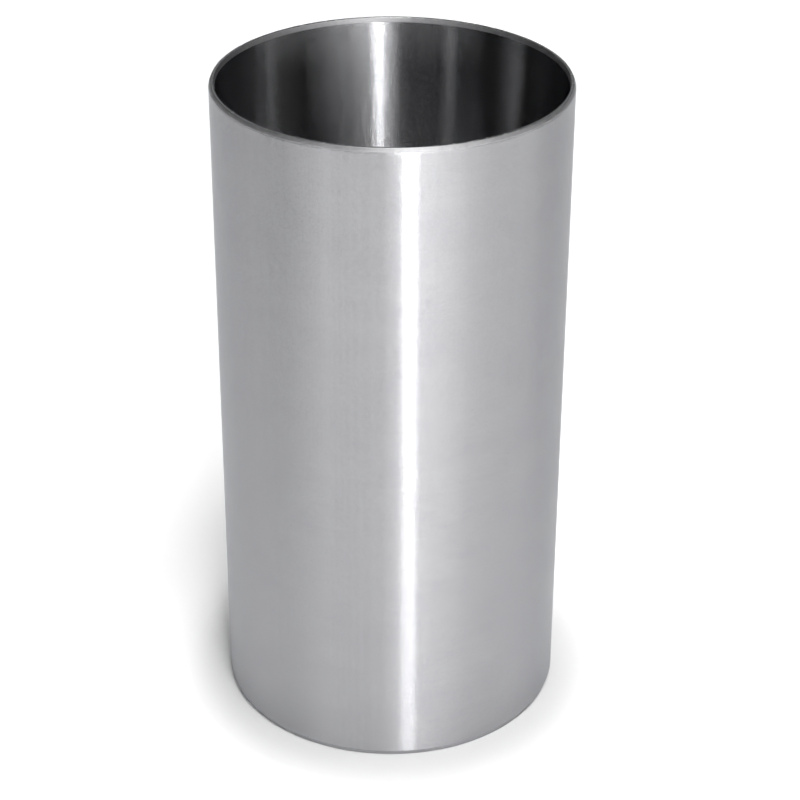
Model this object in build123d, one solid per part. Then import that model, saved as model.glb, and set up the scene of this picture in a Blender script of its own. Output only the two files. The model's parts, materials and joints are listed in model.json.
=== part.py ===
from build123d import *
import os
from math import radians, tan

# A dry cylinder liner: a thin, straight, flangeless sleeve of grey cast iron, cast and turned
# in one piece, ground to size outside and honed inside.
# Millimetres and degrees. The axis is +Z, and the lower end face stands on Z = 0.

# The sleeve
BORE_DIAMETER = 102.0         # honed, the piston runs in it
WALL = 1.75                   # between the bore and the ground outside
LENGTH = 203.0                # from end face to end face

# The upper end, towards the cylinder head
RING_ENTRY_LENGTH = 1.5       # taper inside, down which the piston rings are pushed in
RING_ENTRY_ANGLE = 12.0       # from the axis
TOP_CHAMFER_LENGTH = 1.1      # turned chamfer outside, along the axis
TOP_CHAMFER_ANGLE = 30.0      # from the axis

# The lower end, which goes into the block first
PRESS_LEAD_LENGTH = 1.7       # taper outside, which centres the sleeve in the block
PRESS_LEAD_ANGLE = 20.0       # from the axis
SKIRT_CHAMFER = 0.4           # 45 degree edge inside, clear of the piston skirt

# Worked out from the sizes above
BORE_RADIUS = BORE_DIAMETER / 2
OUTER_RADIUS = BORE_RADIUS + WALL


def taper_depth(length, angle):
    """How far a taper of this length along the axis, at this angle from it, cuts into the wall."""
    return length * tan(radians(angle))


def wall_section():
    """The wall cut through on one side of the axis: radius along X, height along Z."""
    ring_entry = taper_depth(RING_ENTRY_LENGTH, RING_ENTRY_ANGLE)
    top_chamfer = taper_depth(TOP_CHAMFER_LENGTH, TOP_CHAMFER_ANGLE)
    press_lead = taper_depth(PRESS_LEAD_LENGTH, PRESS_LEAD_ANGLE)
    inside = [
        (BORE_RADIUS + SKIRT_CHAMFER, 0),
        (BORE_RADIUS, SKIRT_CHAMFER),
        (BORE_RADIUS, LENGTH - RING_ENTRY_LENGTH),
        (BORE_RADIUS + ring_entry, LENGTH),
    ]
    outside = [
        (OUTER_RADIUS - top_chamfer, LENGTH),
        (OUTER_RADIUS, LENGTH - TOP_CHAMFER_LENGTH),
        (OUTER_RADIUS, PRESS_LEAD_LENGTH),
        (OUTER_RADIUS - press_lead, 0),
    ]
    return Plane.XZ * make_face(Polyline(*inside, *outside, close=True))


def cylinder_liner():
    """The whole sleeve, turned about its axis."""
    return revolve(wall_section(), axis=Axis.Z)


os.makedirs("parts", exist_ok=True)
export_step(cylinder_liner(), "parts/cylinder_liner.step")
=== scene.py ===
import json
import math

import bpy
from mathutils import Matrix, Vector

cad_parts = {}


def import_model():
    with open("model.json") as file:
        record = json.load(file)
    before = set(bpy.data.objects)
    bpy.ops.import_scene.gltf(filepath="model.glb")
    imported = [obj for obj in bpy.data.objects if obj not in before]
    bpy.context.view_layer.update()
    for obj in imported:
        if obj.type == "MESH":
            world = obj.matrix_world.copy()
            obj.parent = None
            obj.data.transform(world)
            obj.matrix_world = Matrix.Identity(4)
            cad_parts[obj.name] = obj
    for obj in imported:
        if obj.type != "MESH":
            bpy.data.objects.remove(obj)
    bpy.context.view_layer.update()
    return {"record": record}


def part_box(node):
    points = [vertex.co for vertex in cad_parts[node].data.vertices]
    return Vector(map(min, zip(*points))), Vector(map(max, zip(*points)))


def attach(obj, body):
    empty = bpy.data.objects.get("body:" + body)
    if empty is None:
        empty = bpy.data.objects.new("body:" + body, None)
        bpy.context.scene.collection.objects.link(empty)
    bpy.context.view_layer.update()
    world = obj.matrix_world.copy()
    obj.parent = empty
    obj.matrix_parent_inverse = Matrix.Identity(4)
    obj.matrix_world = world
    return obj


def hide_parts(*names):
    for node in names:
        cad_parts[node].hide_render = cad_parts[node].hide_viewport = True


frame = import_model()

MM = 0.001
NODE = "cylinder_liner"

# The sleeve's sizes, read from the frame
low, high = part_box(NODE)
OUTER_RADIUS = high.x
LENGTH = high.z
BORE_RADIUS = MM * next(m["dims"]["r_mm"] for m in frame["record"]["mounts"] if m["name"] == "bore")

# Edge forms, as turned
RING_ENTRY_LENGTH = 1.5 * MM
RING_ENTRY_ANGLE = math.radians(12)
TOP_CHAMFER_LENGTH = 1.1 * MM
TOP_CHAMFER_ANGLE = math.radians(30)
PRESS_LEAD_LENGTH = 1.7 * MM
PRESS_LEAD_ANGLE = math.radians(20)
SKIRT_CHAMFER = 0.4 * MM

# How round each corner is: broken edges, the rim's two, and the two that are polished into a blend
EDGE_RADIUS = 0.12 * MM
RIM_RADIUS = 0.15 * MM
SHOULDER_RADIUS = 3.0 * MM
ENTRY_RADIUS = 5.0 * MM
EDGE_STEPS = 6
TURN_STEPS = 720

# Finishes, in the order of the material slots
GROUND, HONED, TURNED, FACED = range(4)

# Tool marks
SCRATCH_LENGTH = 0.5 * MM
SCRATCH_WIDTH = 0.02 * MM
HONE_STARTS = 160
HONE_ANGLE = math.radians(22.5)

# Iron's reflection dips by about a fifth before it rises at the very edge
GRAZING_TINT = "#E5E6E8"

# The paper floor: its half width, its own light near the sleeve and far off, how much of that
# light the metal mirrors, and how far out from the foot that light is held down, as painted shade
# that deepens the sleeve's shadow
PAPER_HALF_WIDTH = 6.0
PAPER_GREY = (0.8, 0.8, 0.8, 1)
PAPER_LIFT = 0.35
PAPER_FAR = 0.65
PAPER_FAR_START = 0.3
PAPER_MIRRORED = 0.7
PAINTED_SHADE_REACH = 25 * MM

# How much of the white beyond the floor the metal mirrors
ROOM_MIRRORED = 0.005

# The camera: its picture and focal length in pixels, its place in outside radii from the foot's
# centre, and its turns in radians
PICTURE_WIDTH = 800
FOCAL_LENGTH = 2224.03
SENSOR_WIDTH = 36
CAMERA_BACK = 11.4162
CAMERA_UP = 8.2173
CAMERA_PAN = -0.0044
CAMERA_TILT = 0.5095
CAMERA_ROLL = 0.0048

# The panel lamps' distance, and the height on the axis that they face
REACH = 3.0
AIM = 0.15

# Panel lamps: name, azimuth from and to, elevation from and to, level at each end of the azimuth
PANELS = [
    ("overhead", 0, 24, 62, 78, 29, 37),
    ("overhead_wing", 24, 45, 62, 78, 16, 6),
    ("overhead_tip", 45, 80, 62, 78, 5, 1),
    ("back_high", 150, 210, 76, 92, 26, 26),
    ("key_low_left", 5.5, 12, -2.5, 10, 3, 18),
    ("key_low_right", 12, 17, -2.5, 10, 18, 5.5),
    ("key_shoulder", -4, 4, 10, 28, 1.8, 2.7),
    ("key_left", 4, 9, 10, 28, 2.7, 12.5),
    ("key_right", 9, 17, 10, 28, 12.5, 2.8),
    ("key_top", 6, 11, 28, 50, 10, 10),
    ("right_low", 17, 45, -2.5, 10, 6, 3.2),
    ("right_side_low", 45, 100, -2.5, 10, 2.8, 0.6),
    ("right_mid", 18, 60, 10, 28, 3.2, 0.3),
    ("left_low", -45, 5, -2.5, 10, 2.1, 2.9),
    ("left_side_low", -65, -45, -2.5, 10, 0.2, 1.9),
    ("left_strip", -44, -37, 10, 45, 0.9, 0.9),
    ("side_strip", -99, -91, 10, 40, 0.65, 0.65),
    ("right_strip", 89, 96, 20, 60, 2.2, 2.2),
    ("back", 165, 195, 15, 45, 0.4, 0.4),
]


def linear(hex_colour):
    """An sRGB colour such as #99AABB, as linear red, green, blue and alpha."""
    def channel(value):
        value /= 255
        return value / 12.92 if value <= 0.04045 else ((value + 0.055) / 1.055) ** 2.4
    number = int(hex_colour.lstrip("#"), 16)
    return tuple(channel((number >> shift) & 255) for shift in (16, 8, 0)) + (1.0,)


def add(tree, kind, links=None, **settings):
    """A new node, with its own settings, its inputs' values, and links from other nodes."""
    node = tree.nodes.new(kind)
    inputs = settings.pop("inputs", {})
    for name, value in settings.items():
        setattr(node, name, value)
    for name, value in inputs.items():
        node.inputs[name].default_value = value
    for name, source in (links or {}).items():
        tree.links.new(source, node.inputs[name])
    return node


def wall_section():
    """Corner points (radius, height) of the wall, anticlockwise from the lower inside edge, each
    with how round it is and the finish of the face that follows it."""
    entry = RING_ENTRY_LENGTH * math.tan(RING_ENTRY_ANGLE)
    chamfer = TOP_CHAMFER_LENGTH * math.tan(TOP_CHAMFER_ANGLE)
    lead = PRESS_LEAD_LENGTH * math.tan(PRESS_LEAD_ANGLE)
    return [
        (Vector((BORE_RADIUS + SKIRT_CHAMFER, 0)), EDGE_RADIUS, TURNED),
        (Vector((OUTER_RADIUS - lead, 0)), EDGE_RADIUS, TURNED),
        (Vector((OUTER_RADIUS, PRESS_LEAD_LENGTH)), EDGE_RADIUS, GROUND),
        (Vector((OUTER_RADIUS, LENGTH - TOP_CHAMFER_LENGTH)), SHOULDER_RADIUS, TURNED),
        (Vector((OUTER_RADIUS - chamfer, LENGTH)), RIM_RADIUS, FACED),
        (Vector((BORE_RADIUS + entry, LENGTH)), RIM_RADIUS, TURNED),
        (Vector((BORE_RADIUS, LENGTH - RING_ENTRY_LENGTH)), ENTRY_RADIUS, HONED),
        (Vector((BORE_RADIUS, SKIRT_CHAMFER)), EDGE_RADIUS, TURNED),
    ]


def rounded(section):
    """The section with an arc at each corner: a list of (point, normal, finish). Each half of an
    arc has the finish of the face beside it."""
    rows = []
    for i, (corner, radius, finish) in enumerate(section):
        before = (corner - section[i - 1][0]).normalized()
        after = (section[(i + 1) % len(section)][0] - corner).normalized()
        n0 = Vector((before.y, -before.x))
        n1 = Vector((after.y, -after.x))
        half = n0.angle(n1) / 2
        centre = corner - (n0 + n1).normalized() * radius / math.cos(half)
        for step in range(EDGE_STEPS + 1):
            normal = n0.slerp(n1, step / EDGE_STEPS)
            rows.append((centre + normal * radius, normal,
                         section[i - 1][2] if step < EDGE_STEPS / 2 else finish))
    return rows


def lathe(name, rows):
    """The rows turned about the axis into one closed mesh, smooth by the rows' own normals."""
    verts, normals = [], []
    for turn in range(TURN_STEPS):
        angle = math.tau * turn / TURN_STEPS
        c, s = math.cos(angle), math.sin(angle)
        for point, normal, _ in rows:
            verts.append((point.x * c, point.x * s, point.y))
            normals.append((normal.x * c, normal.x * s, normal.y))
    n = len(rows)
    faces, finishes = [], []
    for turn in range(TURN_STEPS):
        here, there = turn * n, (turn + 1) % TURN_STEPS * n
        for k in range(n):
            up = (k + 1) % n
            faces.append((here + k, there + k, there + up, here + up))
            finishes.append(rows[k][2])
    mesh = bpy.data.meshes.new(name)
    mesh.from_pydata(verts, [], faces)
    mesh.polygons.foreach_set("use_smooth", [True] * len(faces))
    mesh.polygons.foreach_set("material_index", finishes)
    mesh.normals_split_custom_set_from_vertices(normals)
    piece = bpy.data.objects.new(name, mesh)
    bpy.context.scene.collection.objects.link(piece)
    return piece


def new_iron(name, roughness, anisotropy):
    """Bare metal whose gloss spreads across tool marks that run round the axis."""
    material = bpy.data.materials.new(name)
    material.use_nodes = True
    tree = material.node_tree
    shader = tree.nodes["Principled BSDF"]
    shader.inputs["Metallic"].default_value = 1.0
    shader.inputs["Specular Tint"].default_value = linear(GRAZING_TINT)
    shader.inputs["Roughness"].default_value = roughness
    shader.inputs["Anisotropic"].default_value = anisotropy
    shader.inputs["Anisotropic Rotation"].default_value = 0.25
    tangent = add(tree, "ShaderNodeTangent", direction_type="RADIAL", axis="Z")
    tree.links.new(tangent.outputs["Tangent"], shader.inputs["Tangent"])
    return material, tree, shader


def surface_place(tree):
    """The place on the metal, with its radius added to its height, so that a pattern drawn along
    the third axis crosses flat faces as well as upright ones."""
    place = add(tree, "ShaderNodeTexCoord")
    axes = add(tree, "ShaderNodeSeparateXYZ", {0: place.outputs["Object"]})
    flat = add(tree, "ShaderNodeCombineXYZ", {0: axes.outputs[0], 1: axes.outputs[1]})
    radius = add(tree, "ShaderNodeVectorMath", {0: flat.outputs[0]}, operation="LENGTH")
    across = add(tree, "ShaderNodeMath", {0: axes.outputs[2], 1: radius.outputs["Value"]},
                 operation="ADD")
    return add(tree, "ShaderNodeCombineXYZ",
               {0: axes.outputs[0], 1: axes.outputs[1], 2: across.outputs[0]}).outputs[0]


def marks(tree, place, length, width, detail=1.0):
    """Noise drawn out round the axis: marks of a length and width in metres."""
    size = add(tree, "ShaderNodeVectorMath", {0: place}, operation="MULTIPLY",
               inputs={1: (1 / length, 1 / length, 1 / width)})
    return add(tree, "ShaderNodeTexNoise", {"Vector": size.outputs[0]},
               inputs={"Scale": 1.0, "Detail": detail}).outputs["Fac"]


def scaled(tree, value, low, high, least, most):
    """The value, taken from low..high to least..most and held within them."""
    return add(tree, "ShaderNodeMapRange", {"Value": value}, inputs={
        "From Min": low, "From Max": high, "To Min": least, "To Max": most}).outputs[0]


def lean(tree, shader, scratches, slope):
    """Tilt the surface up and down over the flanks of the scratches, by up to about slope."""
    amount = add(tree, "ShaderNodeMapRange", {"Value": scratches}, clamp=False,
                 inputs={"From Min": 0.5, "From Max": 0.63, "To Min": 0.0, "To Max": slope})
    tangent = shader.inputs["Tangent"].links[0].from_socket
    shape = add(tree, "ShaderNodeNewGeometry")
    across = add(tree, "ShaderNodeVectorMath", {0: shape.outputs["Normal"], 1: tangent},
                 operation="CROSS_PRODUCT")
    tilt = add(tree, "ShaderNodeVectorMath", {0: across.outputs[0], "Scale": amount.outputs[0]},
               operation="SCALE")
    leaning = add(tree, "ShaderNodeVectorMath", {0: shape.outputs["Normal"], 1: tilt.outputs[0]},
                  operation="ADD")
    normal = add(tree, "ShaderNodeVectorMath", {0: leaning.outputs[0]}, operation="NORMALIZE")
    tree.links.new(normal.outputs[0], shader.inputs["Normal"])


def tone(tree, shader, marked, between, on):
    """Colour the metal in two near tones: between the marks, and on them."""
    mix = add(tree, "ShaderNodeMix", {"Factor": marked}, data_type="RGBA",
              inputs={6: linear(between), 7: linear(on)})
    tree.links.new(mix.outputs[2], shader.inputs["Base Color"])


def ground_iron():
    """Grey cast iron, ground between centres: a satin silver with fine scratches round it, a few
    longer wheel lines, and a faint cloudiness in its tone and gloss."""
    material, tree, shader = new_iron("ground_cast_iron", roughness=0.22, anisotropy=1.0)
    place = surface_place(tree)
    lean(tree, shader, marks(tree, place, SCRATCH_LENGTH, SCRATCH_WIDTH), slope=0.32)
    lines = marks(tree, place, length=20 * MM, width=0.12 * MM)
    clouds = marks(tree, place, length=14 * MM, width=9 * MM, detail=3.0)
    both = add(tree, "ShaderNodeMath", {0: lines, 1: clouds}, operation="ADD").outputs[0]
    factor = scaled(tree, both, low=0.7, high=1.3, least=0, most=1)
    tone(tree, shader, factor, between="#A6A6A9", on="#ACACAE")
    gloss = scaled(tree, clouds, low=0.3, high=0.7, least=0.215, most=0.225)
    tree.links.new(gloss, shader.inputs["Roughness"])
    return material


def hatch(tree, place):
    """Two crossing sets of helical lines, as a honing tool leaves them: 0 between lines, 1 on one.
    Real ones lie about 0.05 mm apart, which is too fine to show, so these are coarser."""
    axes = add(tree, "ShaderNodeSeparateXYZ", {0: place})
    turn = add(tree, "ShaderNodeMath", {0: axes.outputs[1], 1: axes.outputs[0]},
               operation="ARCTAN2").outputs[0]
    sets = []
    for way in (-1, 1):
        rise = way * HONE_STARTS / (BORE_RADIUS * math.tan(HONE_ANGLE))
        climb = add(tree, "ShaderNodeMath", {0: axes.outputs[2]}, operation="MULTIPLY",
                    inputs={1: rise}).outputs[0]
        phase = add(tree, "ShaderNodeMath", {0: turn, 2: climb}, operation="MULTIPLY_ADD",
                    inputs={1: HONE_STARTS}).outputs[0]
        wave = add(tree, "ShaderNodeMath", {0: phase}, operation="SINE").outputs[0]
        sets.append(scaled(tree, wave, low=0.2, high=1.0, least=0, most=1))
    return add(tree, "ShaderNodeMath", {0: sets[0], 1: sets[1]}, operation="MAXIMUM").outputs[0]


def honed_iron():
    """Grey cast iron, honed: a darker, closer gloss than the outside, crossed by the faint hatch
    that holds oil, with a soft mottle."""
    material, tree, shader = new_iron("honed_cast_iron", roughness=0.18, anisotropy=1.0)
    place = surface_place(tree)
    lean(tree, shader, marks(tree, place, SCRATCH_LENGTH, SCRATCH_WIDTH), slope=0.60)
    clouds = marks(tree, place, length=8 * MM, width=6 * MM, detail=3.0)
    worn = scaled(tree, clouds, low=0.35, high=0.65, least=0.1, most=0.6)
    lines = add(tree, "ShaderNodeMath", {0: hatch(tree, place), 1: worn},
                operation="MULTIPLY").outputs[0]
    tone(tree, shader, lines, between="#A7A7A9", on="#9A9A9D")
    gloss = scaled(tree, clouds, low=0.3, high=0.7, least=0.17, most=0.19)
    tree.links.new(gloss, shader.inputs["Roughness"])
    return material


def turned_iron(name, smooth, rough):
    """Grey cast iron, as the cutting tool left it: a matt grey with fine rings, and a few pale
    nicks where an edge has been handled."""
    material, tree, shader = new_iron(name, roughness=rough, anisotropy=0.3)
    place = surface_place(tree)
    lean(tree, shader, marks(tree, place, SCRATCH_LENGTH, SCRATCH_WIDTH), slope=0.08)
    rings = marks(tree, place, length=30 * MM, width=0.1 * MM)
    nicks = marks(tree, place, length=1.2 * MM, width=0.8 * MM)
    both = add(tree, "ShaderNodeMath", {0: rings, 1: nicks}, operation="ADD").outputs[0]
    factor = scaled(tree, both, low=0.7, high=1.3, least=0, most=1)
    tone(tree, shader, factor, between="#99999B", on="#ADADAE")
    gloss = scaled(tree, nicks, low=0.3, high=0.7, least=smooth, most=rough)
    tree.links.new(gloss, shader.inputs["Roughness"])
    return material


def shown(tree, mirrored):
    """How much of a background's own light a ray meets: all of it where the ray comes straight
    from the eye or through glass, and the share mirrored where metal reflects it."""
    rays = add(tree, "ShaderNodeLightPath")
    reflected = add(tree, "ShaderNodeMath", {0: rays.outputs["Is Glossy Ray"]},
                    inputs={1: mirrored}, operation="MULTIPLY")
    direct = add(tree, "ShaderNodeMath", {0: rays.outputs["Is Camera Ray"],
                 1: rays.outputs["Is Transmission Ray"]}, operation="MAXIMUM")
    either = add(tree, "ShaderNodeMath", {0: direct.outputs[0], 1: reflected.outputs[0]},
                 operation="MAXIMUM")
    return either.outputs[0]


def paper_glow_and_painted_shade(tree):
    """The paper's own light, with painted shade: none under the sleeve, inside its bore or at its
    foot, so that the foot and the bore's floor stay dark on top of the sleeve's own shadow; some
    beyond the shadow, and white far off, where no lamp reaches."""
    place = add(tree, "ShaderNodeTexCoord")
    distance = add(tree, "ShaderNodeVectorMath", {0: place.outputs["Object"]}, operation="LENGTH")
    # Painted shade: this glow is nothing within the sleeve's outside radius, the bore included, and
    # rises to its full lift only 25 mm out from the foot
    near = add(tree, "ShaderNodeMapRange", {"Value": distance.outputs["Value"]},
               interpolation_type="SMOOTHSTEP",
               inputs={"From Min": OUTER_RADIUS, "From Max": OUTER_RADIUS + PAINTED_SHADE_REACH,
                       "To Min": 0.0, "To Max": PAPER_LIFT})
    far = add(tree, "ShaderNodeMapRange", {"Value": distance.outputs["Value"]},
              interpolation_type="SMOOTHSTEP",
              inputs={"From Min": PAPER_FAR_START, "From Max": REACH,
                      "To Min": 0.0, "To Max": PAPER_FAR})
    lift = add(tree, "ShaderNodeMath", {0: near.outputs[0], 1: far.outputs[0]}, operation="ADD")
    strength = add(tree, "ShaderNodeMath", {0: lift.outputs[0], 1: shown(tree, PAPER_MIRRORED)},
                   operation="MULTIPLY")
    return strength.outputs[0]


def floor():
    mesh = bpy.data.meshes.new("studio_floor")
    r = PAPER_HALF_WIDTH
    mesh.from_pydata([(-r, -r, 0), (r, -r, 0), (r, r, 0), (-r, r, 0)], [], [(0, 1, 2, 3)])
    piece = bpy.data.objects.new("studio_floor", mesh)
    bpy.context.scene.collection.objects.link(piece)
    material = bpy.data.materials.new("pale_paper")
    material.use_nodes = True
    tree = material.node_tree
    tree.nodes.clear()
    output = add(tree, "ShaderNodeOutputMaterial")
    paper = add(tree, "ShaderNodeBsdfDiffuse", inputs={"Color": PAPER_GREY})
    # The floor's glow carries painted shade round the sleeve's foot and inside its bore
    glow = add(tree, "ShaderNodeEmission", {"Strength": paper_glow_and_painted_shade(tree)})
    both = add(tree, "ShaderNodeAddShader", {0: paper.outputs[0], 1: glow.outputs[0]})
    tree.links.new(both.outputs[0], output.inputs["Surface"])
    mesh.materials.append(material)


def panel(name, left, right, low, high, left_level, right_level):
    """A flat panel lamp that faces the object, REACH away. Its sides are in degrees as the object
    sees them, azimuth from the camera's side towards the right. A level is how bright that side
    of the panel looks, where 1 is white."""
    data = bpy.data.lights.new(name, "AREA")
    data.shape = "RECTANGLE"
    up = math.radians((low + high) / 2)
    data.size = 2 * REACH * math.cos(up) * math.tan(math.radians(right - left) / 2)
    data.size_y = 2 * REACH * math.tan(math.radians(high - low) / 2)
    data.energy = math.pi * data.size * data.size_y
    data.use_nodes = True
    tree = data.node_tree
    place = add(tree, "ShaderNodeNewGeometry")
    across = add(tree, "ShaderNodeSeparateXYZ", {0: place.outputs["Parametric"]})
    level = add(tree, "ShaderNodeMapRange", {"Value": across.outputs[0]},
                inputs={"To Min": left_level, "To Max": right_level})
    tree.links.new(level.outputs[0], tree.nodes["Emission"].inputs["Strength"])
    piece = bpy.data.objects.new(name, data)
    turn = Matrix.Rotation(math.radians((left + right) / 2), 4, "Z")
    turn = turn @ Matrix.Rotation(math.pi / 2 - up, 4, "X")
    piece.matrix_world = Matrix.Translation((0, 0, AIM)) @ turn @ Matrix.Translation((0, 0, REACH))
    bpy.context.scene.collection.objects.link(piece)


def camera():
    data = bpy.data.cameras.new("camera")
    data.sensor_width = SENSOR_WIDTH
    data.lens = SENSOR_WIDTH * FOCAL_LENGTH / PICTURE_WIDTH
    data.clip_end = 100
    piece = bpy.data.objects.new("camera", data)
    piece.matrix_world = (
        Matrix.Translation((0, -CAMERA_BACK * OUTER_RADIUS, CAMERA_UP * OUTER_RADIUS))
        @ Matrix.Rotation(CAMERA_PAN, 4, "Z")
        @ Matrix.Rotation(math.pi / 2 - CAMERA_TILT, 4, "X")
        @ Matrix.Rotation(CAMERA_ROLL, 4, "Z")
    )
    bpy.context.scene.collection.objects.link(piece)
    bpy.context.scene.camera = piece


def world():
    """White behind the object, and next to nothing in the metal, as in a dark studio."""
    studio = bpy.data.worlds.new("studio")
    bpy.context.scene.world = studio
    studio.use_nodes = True
    tree = studio.node_tree
    background = tree.nodes["Background"]
    background.inputs["Color"].default_value = (1, 1, 1, 1)
    tree.links.new(shown(tree, ROOM_MIRRORED), background.inputs["Strength"])


sleeve = lathe("sleeve", rounded(wall_section()))
for finish in (
    ground_iron(),
    honed_iron(),
    turned_iron("turned_cast_iron", smooth=0.46, rough=0.54),
    turned_iron("faced_cast_iron", smooth=0.22, rough=0.28),
):
    sleeve.data.materials.append(finish)
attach(sleeve, "root")
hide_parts(NODE)
floor()
camera()
world()
for row in PANELS:
    panel(*row)
bpy.context.scene.view_settings.view_transform = "Standard"
